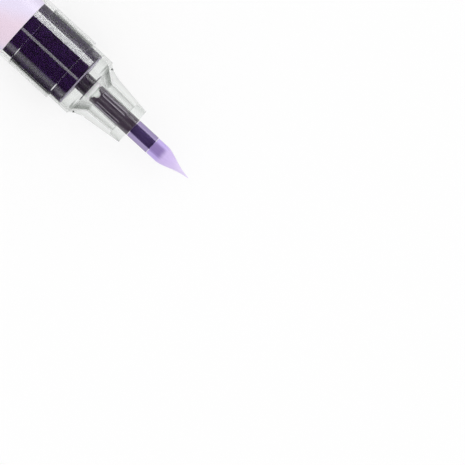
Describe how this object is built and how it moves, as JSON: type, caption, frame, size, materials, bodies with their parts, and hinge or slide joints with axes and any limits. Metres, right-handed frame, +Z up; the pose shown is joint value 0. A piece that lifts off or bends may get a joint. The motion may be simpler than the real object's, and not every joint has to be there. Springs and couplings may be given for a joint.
{
  "type": "paint marker",
  "caption": "Slim clear-barrelled paint marker with a spring valve, a mixing ball, a brush nib, and a clip cap posted on its rear end.",
  "frame": {"origin": "on the table under the middle of the marker's box, with the marker lying on its barrel and on its clip", "axes": "+X along the marker towards the brush, +Z up from the table, +Y towards the clip's side"},
  "size_m": [0.1674, 0.0172, 0.015],
  "materials": {
    "clear_plastic": "clear, polished",
    "label_film": "pearly film",
    "violet_paint": "wet, dark violet",
    "steel": "polished",
    "white_plastic": "satin",
    "dark_plastic": "satin",
    "black_rubber": "matt",
    "violet_plastic": "glossy",
    "lilac_plastic": "glossy",
    "nib_fibre": "soaked with lavender paint"
  },
  "bodies": {
    "marker_body": {"barrel": "clear_plastic", "paint_tank": "clear_plastic", "label_wrap": "label_film", "paint": "violet_paint", "tank_plug": "white_plastic", "nose": "clear_plastic", "front_gasket": "white_plastic", "valve_body": "dark_plastic", "valve_retainer": "dark_plastic", "valve_spring": "steel", "nib_guide": "clear_plastic", "rear_plug": "violet_plastic", "rear_ring": "black_rubber"},
    "nib_assembly": {"valve_stem": "dark_plastic", "stem_seal": "black_rubber", "stem_tip": "white_plastic", "nib_holder": "dark_plastic", "nib_ferrule": "violet_plastic", "brush_nib": "nib_fibre"},
    "ball": {"mixing_ball": "steel"},
    "cap": {"cap_shell": "violet_plastic", "cap_button": "lilac_plastic", "cap_liner": "white_plastic", "cap_clip": "violet_plastic"}
  },
  "joints": [
    {"name": "nib_press", "type": "slide", "parent": "marker_body", "child": "nib_assembly", "axis": [-1, 0, 0], "range_m": [0, 0.0022], "stiffness_N_per_m": 800, "deforming": ["valve_spring"]},
    {"name": "cap_pull", "type": "slide", "parent": "marker_body", "child": "cap", "axis": [-1, 0, 0], "range_m": [0, 0.03]},
    {"name": "ball_run", "type": "slide", "parent": "marker_body", "child": "ball", "axis": [1, 0, 0], "range_m": [0, 0.06195]}
  ]
}
